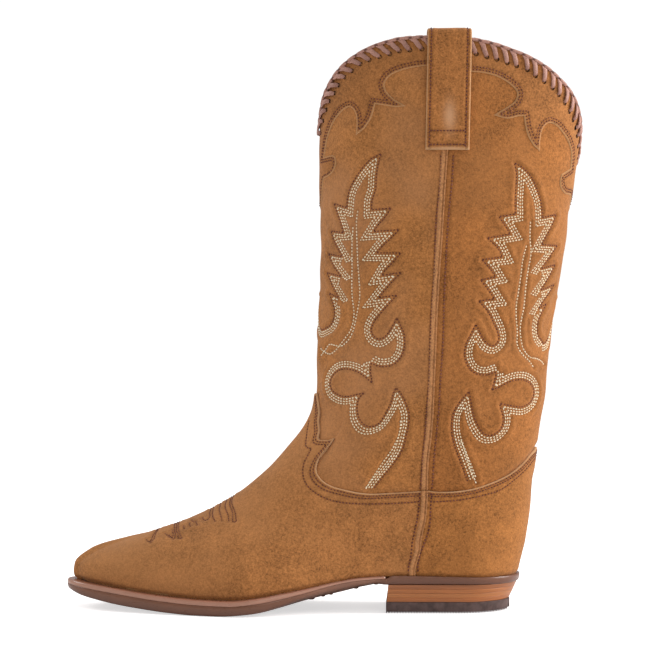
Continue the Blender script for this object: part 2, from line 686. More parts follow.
front_outline = np.vstack(ROWS["front_side"] + ROWS["front_centre"])
back_outline = np.vstack(ROWS["back_side"] + ROWS["back_centre"])
brown_lines = [run for name in ("front_side", "front_centre", "back_side", "back_centre")
               for run in ROWS[name]]
brown_lines = both([run[run[:, 0] <= BACK_ARC + 1] for run in brown_lines])

cream_lines = []
for offset in (1.5, 2.95, 4.4):
    cream_lines += beside(ROWS["front_side"], -1, offset, front_outline)
    cream_lines += beside(ROWS["front_centre"], 1, offset, front_outline, mitre=1.35)
    cream_lines += beside(ROWS["back_side"], 1, offset, back_outline)
    cream_lines += beside(ROWS["back_centre"], -1, offset, back_outline, mitre=1.5)
for name in ("front_tail", "back_tail", "front_axis_1", "front_axis_2", "back_axis_1",
             "back_axis_2"):
    cream_lines += ROWS[name]
cream_lines = clipped(both(cream_lines))

front_collar_rows = inset_rows("collar_front", -1, (1.45, 3.0))
collar_lines = clipped(both([row for row in front_collar_rows if row[:, 0].min() > 0.4])
                       + both(inset_rows("collar_back", 1, (1.45, 3.0))))
foot_lines = clipped(both(inset_rows("vamp", -1, (1.3, 2.7))
                          + inset_rows("counter", -1, (1.3, 2.7))
                          + ROWS["vamp_third"] + ROWS["counter_third"]))


def across_ridge(row):
    """A toe row joined to its mirror image by a bowed bridge over the ridge of the toe."""
    mirrored = row * [-1, 1]
    bridge = dense([mirrored[0], row[0]])
    reach = abs(row[0, 0])
    bulge = 1 - (bridge[:, 0] / (reach + 1e-6)) ** 2
    slope = (row[3, 1] - row[0, 1]) / (row[3, 0] - row[0, 0])
    bridge[:, 1] += bulge * (-slope) * reach * 0.5
    return np.vstack([mirrored[::-1], bridge[1:-1], row])


toe_lines = []
for index, text in enumerate(TOE_PATHS):
    for row in runs(text):
        toe_lines += both([row]) if index in TOE_SEPARATE else [across_ridge(row)]

shaft_seams, foot_seams = [], []
for name in ("seam_fore", "seam_aft"):
    for row in both(ROWS[name]):
        angle, z = to_angle(row[:, 0]), row[:, 1]
        top = FOOT_TOP_Z(np.abs(angle))
        shaft_seams += split(row, (z > top + 0.7) & (z < 275))
        foot_seams += split(row, (z < top - 0.6) & (z > foot_height(angle) + 1.5))


def skin_distance(lines):
    return distance_to([to_skin(line) for line in lines])


to_embroidery = skin_distance(cream_lines + brown_lines)
to_shaft_seam = skin_distance(shaft_seams)
to_collar_row = skin_distance(collar_lines)
to_foot_row = skin_distance(foot_lines + foot_seams)
to_toe_row = skin_distance(toe_lines)


def dent(distance, depth, swell, width=0.8, swell_at=2.3, swell_width=1.7):
    """A groove along a row of stitches, with the leather swelling beside it."""
    return -depth * bell(distance, width) + swell * bell(distance - swell_at, swell_width)


# Each relief returns a height and a groove strength


def shaft_relief(points):
    thread, seam = to_embroidery(points), to_shaft_seam(points)
    height = (dent(thread, 0.62, 0.62, 0.9, 2.6, 1.8) + dent(seam, 0.35, 0.1)
              + 0.6 * rolling(points, 16, 70, seed=1))
    return height, np.clip(0.6 * bell(thread, 0.8) + bell(seam, 0.55), 0, 1)


def foot_relief(points):
    thread, toe = to_foot_row(points), to_toe_row(points)
    height = (dent(thread, 0.3, 0.16) + dent(toe, 0.42, 0.28)
              + 0.42 * rolling(points, 14, 60, seed=3))
    return height, np.clip(bell(thread, 0.55) + 0.8 * bell(toe, 0.55), 0, 1)


def collar_relief(points):
    thread = to_collar_row(points)
    height = dent(thread, 0.22, 0.12, 0.7, 1.6, 0.9) + 0.55 * rolling(points, 16, 70, seed=1)
    return height, bell(thread, 0.5)


# --- Shaft panels and linings


def panel_angle(across, joint, gap, front):
    """Angle at -1..1 across the front or back panel, which stops a gap short of the joint."""
    return across * (joint - gap) if front else 180 + across * (180 - joint - gap)


def shaft_panel(name, front):
    columns, rows = ((276, 272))
    gap, thickness = 0.9, 1.6
    across = np.linspace(-1, 1, columns + 1)[None, :]
    up = np.linspace(0, 1, rows + 1)[:, None]
    start = fold(panel_angle(across, seam_angle(200), gap, front))
    low = np.minimum(np.minimum(FOOT_TOP_Z(start) - 5, BEND_Z(start) - 3.5),
                     BEND_Z(fold(start_shift(across, gap, front))) - 2)
    z = low + (RIM_Z(start) - low) * up
    angle = panel_angle(across, seam_angle(z), gap, front)
    base, normals = skin(angle, z), skin_normal(angle, z)
    height, groove = shaft_relief(base)
    offset = shaft_offset(angle, z)
    edge = fall((1 - np.abs(across)) * to_arc(85), 0, 1.6)
    return shell(name, base + (offset + height - 0.5 * edge)[..., None] * normals,
                 base + (offset - thickness)[..., None] * normals, groove=groove)


def start_shift(across, gap, front):
    """Folded angle of the panel's columns, moved three degrees towards the back."""
    return fold(panel_angle(across, seam_angle(200), gap, front)) + 3


def lining(name, front):
    columns, rows, gap = 128, 136, 0.15
    across = np.linspace(1, -1, columns + 1)[None, :]
    up = np.linspace(0, 1, rows + 1)[:, None]
    angle = panel_angle(across, JOINT_ANGLE(200), gap, front)
    for _ in range(2):
        low = foot_height(angle) + 3.4
        z = low + (RIM_Z(fold(angle)) - 0.35 - low) * up
        angle = panel_angle(across, JOINT_ANGLE(z), gap, front)
    base, normals = skin(angle, z), skin_normal(angle, z)
    foot = fall(z - FOOT_TOP_Z(fold(angle)), 4, 24)
    depth = 1.75 + 1.2 * foot + 0.5 * ramp(base[..., 0], -150, -20)
    height = 0.3 * rolling(base, 18, 70, seed=1)
    return shell(name, base + (-(depth + 0.85) + height)[..., None] * normals,
                 base + (-depth + height * 0.5)[..., None] * normals)


# --- Vamp and counter

# Place on the vamp's top edge (angle, height) and the angle below it at the sole
VAMP_STATIONS = [
    (0, 131.6, 0), (10.5, 131.2, 8.5), (21.6, 120.4, 17), (31, 109.8, 25), (43, 104.1, 33.5),
    (46.1, 105.6, 36), (45.9, 93.3, 44.5), (49.1, 87, 50), (54.8, 82.1, 58), (63.1, 77.4, 68),
    (82.5, 72.1, 91), (103.2, 73.7, 120)]
# Distances below the top edge of the closely spaced first rows
EDGE_ROWS = np.array([0, 0.3, 0.65, 1.05, 1.5, 2.05, 2.7, 3.4])


def foot_patch(name, front):
    if front:
        path = np.vstack([[[0, 131.6]]] + ROWS["vamp"] + [[[to_arc(103.2), 73.7]]])
        path[:, 0] = np.maximum(path[:, 0], 0)
        columns, rows = 170, 200
    else:
        path = np.vstack([[[to_arc(104.9), 73.9]]] + ROWS["counter"])
        columns, rows = 92, 76
    marks = lengths(to_skin(path))
    share = np.linspace(0, 1, columns + 1)
    top_arc, top_z = along(share * marks[-1], marks, path).T
    top = to_angle(top_arc)
    if front:
        path_angle = to_angle(path[:, 0])
        stations = [(marks[np.argmin(np.hypot(path_angle - angle, path[:, 1] - z))] / marks[-1],
                     sole_angle) for angle, z, sole_angle in VAMP_STATIONS]
        low = Curve(stations)(share)
        share = np.concatenate([-share[:0:-1], share])
        top, low = (np.concatenate([-half[:0:-1], half]) for half in (top, low))
        top_z = np.concatenate([top_z[:0:-1], top_z])
        to_seam = np.abs(share)
    else:
        low = 180 - (180 - top) * (180 - 122.0) / (180 - top[0])
        top, low = (np.concatenate([half, 360 - half[-2::-1]]) for half in (top, low))
        top_z = np.concatenate([top_z, top_z[-2::-1]])
        to_seam = np.concatenate([1 - share, (1 - share)[-2::-1]])
        share = np.linspace(-1, 1, len(top))
    margin = 0.8
    low_z = foot_height(low) - margin
    column = np.array([skin(low + (top - low) * rise, low_z + (top_z - low_z) * rise)
                       for rise in np.linspace(0, 1, 60)])
    column = norm(np.diff(column, axis=0), axis=-1).sum(0)
    count = rows + 1 - len(EDGE_ROWS)
    rest = (np.arange(1, count + 1) / count)[:, None]
    depth = np.vstack([np.repeat(EDGE_ROWS[:, None], len(top), 1),
                       EDGE_ROWS[-1] + (column[None] - EDGE_ROWS[-1]) * rest ** 1.04])
    rise = (1 - depth / column[None])[::-1]
    z = low_z + (top_z - low_z) * rise
    angle = low + (top - low) * rise
    # Bend the end columns onto the side seam
    gap = 0.85
    right = low[-1] + (top[-1] - low[-1]) * rise[:, -1:]
    if front:
        wanted = np.sign(share) * (seam_angle(z) - gap)
        end = np.sign(share) * right
    else:
        wanted = np.where(share < 0, seam_angle(z) + gap, 360 - seam_angle(z) - gap)
        end = np.where(share < 0, low[0] + (top[0] - low[0]) * rise[:, :1], right)
    angle = angle + (wanted - end) * to_seam ** 8
    base, normals = skin(angle, z), skin_normal(angle, z)
    edge = distance_to([skin(top, top_z)])(base)
    height, groove = foot_relief(base)
    above = z - (low_z + margin)
    offset = foot_offset(angle, z) - 0.75 * (1 - np.clip(edge / 0.9, 0, 1) ** 0.5)
    offset = offset - 1.3 * fall(above, -0.8, 3.2)
    offset = offset - 0.35 * fall(np.abs(fold(angle) - seam_angle(z)) * 1.25, 0, 1.6)
    fade = ramp(edge, 0, 2.0) * ramp(above, -0.5, 4)
    return shell(name, base + (offset + height * (0.35 + 0.65 * fade))[..., None] * normals,
                 base + (np.minimum(offset, 0) - 1.45)[..., None] * normals,
                 groove=groove, edge=bell(edge, 0.55))


# --- Collars, cut along their scalloped outline


def thinned(line, step):
    """Points about a step apart, with those at sharp bends kept."""
    marks = lengths(line)
    tangents = unit(np.diff(line, axis=0))
    keep = [0]
    for i in range(1, len(line) - 1):
        since = marks[i] - marks[keep[-1]]
        if since >= step or (tangents[i - 1] @ tangents[i] < 0.8 and since > 0.25):
            keep.append(i)
    keep.append(len(line) - 1)
    return line[keep]


def collar_outline(front):
    """The whole outline, anticlockwise, and its upper edge."""
    if front:
        path, start, start_z, centre, centre_z = "collar_front", 83.7, 328.4, 0, 244.0
    else:
        path, start, start_z, centre, centre_z = "collar_back", 85.3, 325.0, to_arc(180), 233.6
    half = np.vstack(ROWS[path])
    half = half[half[:, 0] < to_arc(179.6)]
    lead = dense([[to_arc(start), start_z], half[0]], 1.0)[:-1]
    half = np.vstack([lead, half, [[centre, centre_z]]])
    half[:, 0] = np.maximum(half[:, 0], 0)
    mirrored = half * [-1, 1] + [2 * centre, 0]
    left, right = (mirrored, half) if front else (half, mirrored)
    first, last = (start, -start) if front else (360 - start, start)
    angles = np.arange(first, last - 0.01, -0.6)
    bottom = thinned(np.vstack([left, right[::-1][1:]]), 0.8)
    top = thinned(np.stack([to_arc(angles), RIM_Z(fold(angles))], 1), 1.2)
    outline = np.vstack([bottom, top])
    return outline[norm(outline - np.roll(outline, 1, 0), axis=1) > 0.2], top


def collar_holes(front, outline, border):
    holes = np.array([(to_arc(angle), z) for angle, z in HOLES])
    holes = np.vstack([holes, holes * [-1, 1]])
    if not front:
        holes[:, 0] = np.where(holes[:, 0] < 0, holes[:, 0] + 2 * to_arc(180), holes[:, 0])
    holes = holes[inside(holes, outline)]
    return holes[gap_to(holes, border) > 1.6]


def fill_outline(outline, border, holes):
    """Triangles over the outline, refined along its edge and round the holes."""
    points = [outline]
    inner = left_of(unit(np.roll(outline, -1, 0) - np.roll(outline, 1, 0)))
    for offset in (0.4, 0.95):
        row = outline + inner * offset
        points.append(row[inside(row, outline) & (gap_to(row, border) > offset * 0.9)])
    turn = np.arange(10) * 0.6283
    circle = np.stack([np.cos(turn), np.sin(turn)], 1)[None]
    points.append(holes)
    for radius in (0.75, 1.2, 1.6):
        points.append((holes[:, None, :] + radius * circle).reshape(-1, 2))
    step = 1.05
    x = np.arange(outline[:, 0].min(), outline[:, 0].max(), step)
    y = np.arange(outline[:, 1].min(), outline[:, 1].max(), step * 0.866)
    grid_x, grid_y = np.meshgrid(x, y)
    grid_x = grid_x + (np.arange(len(y)) % 2)[:, None] * step / 2
    grid = np.stack([grid_x.ravel(), grid_y.ravel()], 1)
    grid = grid[inside(grid, outline)]
    grid = grid[gap_to(grid, border) > 1.45]
    points.append(grid[gap_to(grid, holes) > 2.15])
    count = len(outline)
    edges = [(i, (i + 1) % count) for i in range(count)]
    found = delaunay_2d_cdt([Vector(point) for point in np.vstack(points).tolist()], edges, [],
                            0, 1e-4)
    flat = np.array([tuple(point) for point in found[0]])
    faces = np.array([tuple(face) for face in found[2] if len(face) == 3])
    faces = faces[inside(flat[faces].mean(1), outline)]
    first, second, third = (flat[faces[:, i]] for i in range(3))
    area = ((second[:, 0] - first[:, 0]) * (third[:, 1] - first[:, 1])
            - (second[:, 1] - first[:, 1]) * (third[:, 0] - first[:, 0]))
    faces[area < 0] = faces[area < 0][:, ::-1]
    faces = faces[np.abs(area) > 1e-7]
    used, inverse = np.unique(faces, return_inverse=True)
    return flat[used], inverse.reshape(-1, 3)


def collar(name, front):
    outline, top = collar_outline(front)
    border = dense(np.vstack([outline, outline[:1]]), 0.35)
    holes = collar_holes(front, outline, border)
    flat, faces = fill_outline(outline, border, holes)
    angle, z = to_angle(flat[:, 0]), flat[:, 1]
    base, normals = skin(angle, z), skin_normal(angle, z)
    height, groove = collar_relief(base)
    to_edge, to_hole = gap_to(flat, border), gap_to(flat, holes)
    offset = (collar_offset(angle, z) - 0.62 * (1 - np.clip(to_edge / 0.85, 0, 1) ** 0.5)
              - 1.1 * fall(to_hole, 0.85, 0.4))
    outer = base + (offset + height)[:, None] * normals
    inner = base + (-0.55 + 0.55 * rolling(base, 16, 70, seed=1))[:, None] * normals
    count = len(flat)
    # Walls stand on the edges that belong to one triangle only
    edges = np.vstack([faces[:, [0, 1]], faces[:, [1, 2]], faces[:, [2, 0]]]).astype(np.int64)
    forward = edges[:, 0] * count + edges[:, 1]
    backward = edges[:, 1] * count + edges[:, 0]
    start, end = edges[~np.isin(forward, backward)].T
    walls = np.stack([end, start, start + count, end + count], 1)
    edge = bell(to_edge, 0.6) * ramp(gap_to(flat, dense(top, 0.5)), 0, 2)
    hole = fall(to_hole, 1.15, 0.45)
    zeros = np.zeros(count)
    return solid(name, np.vstack([outer, inner]), walls,
                 np.vstack([faces, faces[:, ::-1] + count]),
                 attrs={"groove": np.concatenate([np.maximum(groove, hole), zeros + 0.5]),
                        "edge": np.concatenate([edge, zeros]),
                        "hole": np.concatenate([hole, zeros])})


# --- Piping in the side seams

# Section: across, height, groove, edge
PIPING = np.array([
    (-1.7, -0.9, 0.5, 0), (-1.55, 0, 0.2, 0), (-1.1, 0.26, 0, 0.6), (-0.7, 0.2, 0.2, 0.5),
    (-0.45, -0.12, 1, 0), (-0.25, -0.12, 1, 0), (0.05, 0.14, 0.3, 0.2), (0.5, 0.34, 0, 0.8),
    (1.1, 0.42, 0, 1), (1.7, 0.4, 0, 0.9), (2.2, 0.28, 0, 0.5), (2.5, 0.05, 0.3, 0),
    (2.6, -0.9, 0.5, 0)])


def piping(name, side, bottom, top, foot):
    count = int((top - bottom) / 0.9)
    z = np.linspace(bottom, top, count + 1)
    angle = side * seam_angle(z)
    base, normals = skin(angle, z), skin_normal(angle, z)
    across = unit(skin(angle + 0.3, z) - skin(angle - 0.3, z))
    offset = foot_offset(angle, z) - 0.1 if foot else shaft_offset(angle, z)
    seed, swing = (3, 0.84) if foot else (1, 1.1)
    offset = offset + 0.5 * rolling(base, 16, 70, seed) * swing
    swell = 1 + 0.10 * rolling(base, 5, 22, seed=5)
    section = PIPING[::-1] * [-1, 1, 1, 1] if side > 0 else PIPING
    rings = np.stack([base + shift * across + (offset + height * swell)[:, None] * normals
                      for shift, height in section[:, :2]], 1)
    return solid(name, *tube(rings),
                 attrs={"groove": np.tile(section[:, 2], count + 1) * 0.8,
                        "edge": np.tile(section[:, 3], count + 1) * 0.2})


# --- Lace round the top edge

RIM_ANGLES = np.arange(-180, 180.01, 0.25)
RIM_POINTS = skin(RIM_ANGLES, RIM_Z(fold(RIM_ANGLES)))
RIM_MARKS = lengths(RIM_POINTS)

# Section of the lace: share of its half width, height
LACE_SECTION = [(-1, -0.25), (-0.8, -0.5), (0, -0.55), (0.8, -0.5), (1, -0.25), (1, 0.2),
                (0.78, 0.5), (0, 0.62), (-0.78, 0.5), (-1, 0.2)]


def rim_mark(side, angle, z):
    """Place along the rim nearest to a hole, and the hole's depth below it."""
    gaps = norm(RIM_POINTS - skin(side * angle, z), axis=1)
    i = int(np.argmin(gaps))
    return RIM_MARKS[i], gaps[i]


def rim_frame(places):
    angle = np.interp(places, RIM_MARKS, RIM_ANGLES)
    return along(places, RIM_MARKS, RIM_POINTS), skin_normal(angle, RIM_Z(fold(angle)))


def square_to(vectors, axis):
    return unit(vectors - (vectors * axis).sum(1, keepdims=True) * axis)


def upward(tangent, normal):
    up = np.cross(tangent, normal)
    return up * np.sign(up[:, 2:3])


def lace_turn(side, angle, z):
    """One turn of lace from a hole, over the edge and down the inside."""
    mark, depth = rim_mark(side, angle, z)
    wobble = rng.uniform(-0.3, 0.3, 4)
    # Along the rim, out from the wall, up from the rim
    route = np.array([
        (0.5, -0.1, -depth + 0.35), (0.7, 0.9, -depth + 0.8), (1.3, 1.5, -depth + 1.7),
        (2.2, 1.6, -depth * 0.66), (3.9, 1.5, -depth * 0.34), (5.2, 1.3, -1.9),
        (6.3, 0.85, -0.9), (7.4, 0.1, -0.3), (8.5, -0.7, -0.2), (9.5, -1.6, -0.4),
        (10.3, -2.5, -1.1), (10.5, -3.1, -2.0), (9.6, -3.3, -3.4), (8.3, -3.3, -5.4),
        (7.1, -3.2, -7.4), (6.5, -2.3, -8.2)])
    route[:, 0] += wobble[0] * 0.5
    route[3:6, 0] += wobble[1]
    route = uniform_spline(route, 0.55)
    places = mark - side * route[:, 0]
    rim, normals = rim_frame(places)
    tangent = unit(along(places + 0.5, RIM_MARKS, RIM_POINTS) - rim)
    normals[:, 2] *= 0.3
    normals = unit(normals)
    up = upward(tangent, normals)
    rise = route[:, 2:3]
    centre = rim + route[:, 1:2] * normals + rise * up
    heading = unit(np.gradient(centre, axis=0))
    # The lace's thickness points away from the middle of the wall
    wall = rim - 0.7 * normals - 2.6 * up
    wall += (rise < -2.6) * (rise + 2.6) * up
    thick = square_to(centre - wall, heading)
    across = np.cross(heading, thick)
    half = 1.42 + 0.1 * wobble[2] - 0.35 * np.abs(np.linspace(-1, 1, len(centre))) ** 8
    rings = np.stack([centre + (share * half)[:, None] * across + height * thick
                      for share, height in LACE_SECTION], 1)
    shade = np.clip(0.86 + 0.3 * wobble[3] + 0.4 * (route[:, 2] / depth), 0, 1)
    return *outward(*tube(rings)), np.repeat(shade, len(LACE_SECTION))


def lace_cord():
    """Cord along the rim, pinched where the turns pass over it."""
    step, sides = 0.55, 8
    crossings = np.array([rim_mark(side, angle, z)[0] - side * 6.6
                          for side in (1, -1) for angle, z in HOLES])
    total = RIM_MARKS[-1]
    places = np.arange(0, total, step)
    places = places * total / (places[-1] + step)
    rim, normals = rim_frame(places)
    tangent = unit(np.roll(rim, -1, 0) - np.roll(rim, 1, 0))
    normals[:, 2] = 0
    normals = square_to(normals, tangent)
    up = upward(tangent, normals)
    full = ramp(np.min(np.abs(places[:, None] - crossings[None]), axis=1), 0.35, 1.3)
    radius = 0.74 + 0.42 * full
    # The cord sits lower on the sides of the boot than at its front and back
    face = np.abs(normals[:, 1])
    centre = (rim + (0.8 + face * (1.15 - 0.3 * full))[:, None] * normals
              + (-0.6 - 0.5 * face)[:, None] * up)
    rings = np.stack([centre + (radius * math.cos(turn))[:, None] * normals
                      + (radius * 0.85 * math.sin(turn))[:, None] * up
                      for turn in np.arange(sides) * math.pi / 4], 1)
    quads = lattice(len(rings), sides, wrap_rows=True, wrap_columns=True)
    return *outward(rings.reshape(-1, 3), quads), np.repeat(0.05 + 0.62 * full, sides)


def lace(name):
    batch = Batch()
    for side in (1, -1):
        for angle, z in HOLES:
            batch.add(*lace_turn(side, angle, z))
    batch.add(*lace_cord())
    return batch.make(name)


# --- Pull straps

# Middle line of the loop, from its outer foot over the top and down inside: |y|, z
STRAP_LINE = np.array(pairs("""44.15,277.6 44.2,281 44.5,288 45.0,298 46.0,314 46.75,330
    47.0,341 46.9,345.4 46.0,347.9 43.8,349.1 39.4,349.35 35.0,349.0 32.7,347.6 32.0,344.2
    33.2,331 35.4,311 37.4,291"""))
STRAP_HALF, STRAP_THICK = 13.1, 1.1             # half width, half thickness
STRAP_ROWS_X = (-STRAP_HALF + 2.15, STRAP_HALF - 2.45)
STRAP_ROWS_Z = (288.9, 280.7)                   # two rows across the outer foot


def strap(name, side, batch):
    """Builds the strap and adds its stitches to the batch."""
    line = uniform_spline(STRAP_LINE, 0.8)
    marks = lengths(line)
    count = 150
    place = np.linspace(0, marks[-1], count)
    line = along(place, marks, line)
    reach, z = line.T
    tangent = unit(np.stack([np.gradient(reach), np.gradient(z)], 1))
    out = -left_of(tangent)
    crest = int(np.argmax(z))
    outer = np.arange(count) <= crest
    centre_x = np.where(outer, -0.6 + 1.35 * (z - 277.5) / 72.6, 0.75)
    bow = np.where(outer, 0.62 - 0.25 * ramp(z, 300, 40), 0.0)
    spread = np.linspace(-1, 1, 41)
    spread = np.sign(spread) * np.abs(spread) ** 0.85

    def rounded(share, height):
        return STRAP_HALF * share, height * (1 - max(0, (abs(share) - 0.93) / 0.07) ** 2 * 0.75)

    def uneven(x, z):
        return 0.22 * rolling(np.stack([x, 0 * x, z], 1), 8, 34, seed=4)

    section = ([rounded(share, STRAP_THICK) for share in spread]
               + [rounded(share, -STRAP_THICK) for share in spread[::-2]])
    rings, grooves, edges = [], [], []
    for x, height in section:
        face = height > 0
        to_row = np.full(count, 9.0)
        for row_x in STRAP_ROWS_X:
            to_row = np.minimum(to_row, abs(x - row_x))
        if abs(x) < STRAP_HALF - 2.2:
            for row_z in STRAP_ROWS_Z:
                to_row = np.where(outer, np.minimum(to_row, np.abs(z - row_z)), to_row)
        relief = dent(to_row, 0.3, 0.16, 0.75, 1.8, 1.2) if face else 0
        offset = (height + relief + uneven(x + centre_x, z)
                  - bow * (x / STRAP_HALF) ** 2)
        rings.append(np.stack([x + centre_x, -side * (reach + out[:, 0] * offset),
                               z + out[:, 1] * offset], 1))
        grooves.append(bell(to_row, 0.8) if face else 0 * to_row)
        edge = max(0, 1 - (STRAP_HALF - abs(x)) / 0.9) if face else 0.6
        edges.append(np.full(count, edge) + (bell(place, 1.2) if face else 0))
    verts, quads, tris = tube(np.stack(rings, 1))
    x, y, height = verts.T
    worn = bell(x - 0.6, 3.4) * bell(height - 297.5, 8.5) * (np.abs(y) > 40)
    worn = worn + 0.9 * bell(height - 278.3, 1.0) * bell(x, 7) * (np.abs(y) > 44.6)
    obj = solid(name, verts, quads, tris,
                attrs={"groove": np.stack(grooves, 1).ravel(),
                       "edge": np.clip(np.stack(edges, 1).ravel(), 0, 1),
                       "worn": np.clip(worn, 0, 1)})

    def stitch(x, places):
        across, up, out_across, out_up, centre, bend = (
            np.interp(places, place, values)
            for values in (reach, z, out[:, 0], out[:, 1], centre_x, bow))
        offset = (STRAP_THICK - 0.2 + uneven(x + centre, up) - bend * (x / STRAP_HALF) ** 2)
        points = np.stack([x + centre, -side * (across + out_across * offset),
                           up + out_up * offset], 1)
        normals = np.stack([0 * out_across, -side * out_across, out_up], 1)
        sew(batch, points, normals, pitch=2.0, radius=0.4, fill=0.66, lift=0.14)

    for row_x in STRAP_ROWS_X:
        places = np.arange(1.4, float(place[-1]) - 2.0, 0.5)
        stitch(np.full(len(places), row_x), places)
    for row_z in STRAP_ROWS_Z:
        x = np.arange(*STRAP_ROWS_X, 0.5)
        stitch(x, np.full(len(x), np.interp(row_z, z[:crest], place[:crest])))
    return obj


# --- Sole and heel


def even_angles(start, end, step):
    """Angles evenly spaced along the upper's lower edge."""
    angle = np.arange(start, end + 0.01, 0.1)
    marks = lengths(skin(angle, foot_height(angle)))
    return np.interp(np.linspace(0, marks[-1], int(marks[-1] / step) + 1), marks, angle)


def plan(angle):
    """Point of the upper's lower edge and its outward direction, seen from above."""
    z = foot_height(angle)
    return skin(angle, z)[..., :2], unit(skin_normal(angle, z)[..., :2])


def overhang(x):
    return 1.6 + 4.0 * fall(x, -120, 55) + 0.8 * fall(x, -222, 18)


def welt_thickness(x):
    return 3 - 1.4 * ramp(x, -105, 45)


def stack_levels(levels):
    """Closed plate through levels of equal outlines: outer side, then inner side backwards."""
    points = np.stack(levels)
    count, size = points.shape[:2]
    i = np.arange(size // 2 - 1)
    top = (count - 1) * size
    quads = [lattice(count, size, wrap_columns=True),
             np.stack([i, size - 1 - i, size - 2 - i, i + 1], 1),
             np.stack([top + i, top + i + 1, top + size - 2 - i, top + size - 1 - i], 1)]
    return points.reshape(-1, 3), np.vstack(quads)


def sole_top(x):
    return FOOT_Z(x) - 0.3 - (welt_thickness(x) + 0.05) * fall(x, -37, 4)


def sole_bevel(x):
    return 0.9 + 8.2 * ramp(x, -112, 30) * fall(x, -43, 6)


def sole_knee(x):
    """Height where the edge turns under: rounded in the forepart, higher along the waist."""
    share = 0.24 + 0.30 * ramp(x, -104, 20) * fall(x, -43, 6)
    return SOLE_Z(x) + (sole_top(x) - SOLE_Z(x)) * share


def knee_to_top(share):
    return lambda x: sole_knee(x) + share * (sole_top(x) - sole_knee(x))


# Levels of the sole's edge from below: offset beyond the overhang and height, both by x
SOLE_LEVELS = [
    (lambda x: -sole_bevel(x) - 5.0, SOLE_Z),
    (lambda x: -sole_bevel(x) - 0.4, SOLE_Z),
    (lambda x: -sole_bevel(x), lambda x: SOLE_Z(x) + 0.18),
    (lambda x: -sole_bevel(x) * 0.55, lambda x: SOLE_Z(x) + 0.5 * (sole_knee(x) - SOLE_Z(x))),
    (lambda x: -0.34, sole_knee),
    (lambda x: -0.08, knee_to_top(0.3)),
    (lambda x: 0.05, knee_to_top(0.6)),
    (lambda x: 0.09, lambda x: sole_top(x) - 0.16),
    (lambda x: -0.12, sole_top),
    (lambda x: -1.4, sole_top),
]


def sole_level(angles, offset, height):
    halves = []
    for side in (1, -1):
        points, out = plan(side * angles)
        x = points[:, 0]
        edge = points + (overhang(x) + offset(x))[:, None] * out
        row = np.column_stack([edge, height(edge[:, 0])])
        halves.append(row[::side])
    return np.vstack(halves)


def outsole():
    angles = even_angles(2.2, 177.8, 1.3)
    verts, quads = stack_levels([sole_level(angles, *level) for level in SOLE_LEVELS])
    roughen(verts, 0.12, 3, 16, seed=2)
    level = np.repeat(np.arange(len(SOLE_LEVELS)), 2 * len(angles))
    x = verts[:, 0]
    worn = 0.12 * ramp(x, -100, 25) * fall(x, -44, 5) * (level >= 3)
    return solid("outsole_edge", verts, quads, sharp=60,
                 attrs={"groove": np.maximum(np.where(level >= 8, 0.2, 0.0),
                                             0.22 * ramp(x, -41, 3)),
                        "low": np.interp(level, [3, 4, 6], [1.0, 0.7, 0.0]),
                        "worn": worn})


# Section of the welt: offset, height from its top (first six) or bottom (last three),
# groove, worn. The first and last offsets count from the upper, the others from the overhang.
WELT_SECTION = [
    (-5.4, 0.0, 0.25, 0), (-1.5, 0.0, 0.08, 0), (-0.85, -0.14, 0, 0.06), (-0.4, -0.5, 0, 0.16),
    (-0.12, -1.0, 0, 0.3), (0.04, -1.6, 0, 0.4), (0.09, 0.16, 0.1, 0.3), (-0.1, 0.0, 0.3, 0.1),
    (-5.2, 0.0, 0.8, 0)]


def welt():
    angles = even_angles(-113.4, 113.4, 1.2)
    points, out = plan(angles)
    x = points[:, 0]
    rings = []
    for i, (offset, height, _, _) in enumerate(WELT_SECTION):
        start = overhang(x) if 0 < i < len(WELT_SECTION) - 1 else 0 * x
        edge = points + (start + offset)[:, None] * out
        z = FOOT_Z(edge[:, 0]) - 0.3
        if i < 6:
            z = z + height * np.minimum(1, welt_thickness(x) / 2.6)
        else:
            z = z - welt_thickness(edge[:, 0]) + height
        rings.append(np.column_stack([edge, z]))
    verts, quads, tris = tube(np.stack(rings, 1))
    roughen(verts, 0.1, 3, 14, seed=6)
    _, _, groove, worn = zip(*WELT_SECTION)
    return solid("welt_edge", verts, quads, tris,
                 attrs={"groove": np.tile(groove, len(angles)),
                        "worn": np.tile(worn, len(angles))})


BREAST_SKEW = 2.6       # how much further back the heel's front face lies on the inner side
RUBBER_TOP = 6.75
LIFTS_BOTTOM, LIFTS_TOP, LIFT_COUNT = 6.8, 17.2, 4


def breast_x(z):
    return -35.4 - (19 - z) * 0.07


def heel_outline(z, offset):
    """Outline of the heel, which narrows downwards."""
    angles = even_angles(113.2, 179.6, 1.1)
    length, width = 1 - (22 - z) * 0.0056, 1 - (22 - z) * 0.0062
    halves = []
    for side in (1, -1):
        points, out = plan(side * angles)
        edge = points + (2.3 + offset) * out
        front = breast_x(z) + (0 if side > 0 else BREAST_SKEW)
        row = np.stack([np.maximum(front, -36 + (edge[:, 0] + 36) * length),
                        edge[:, 1] * width, 0 * angles + z], 1)
        halves.append(row[::side])
    return np.vstack(halves)


def heel_layer(name, bottom, top, seed):
    shift = np.random.default_rng(seed).uniform(-0.05, 0.05)
    # Share of the height, offset of the outline
    profile = ((0.0, -0.16), (0.05, -0.04), (0.16, 0.0), (0.5, 0.02), (0.84, 0.0),
               (0.95, -0.04), (1.0, -0.16))
    verts, quads = stack_levels([heel_outline(bottom + (top - bottom) * share, offset + shift)
                                 for share, offset in profile])
    roughen(verts, 0.07, 2, 12, seed)
    return solid(name, verts, quads, sharp=50)


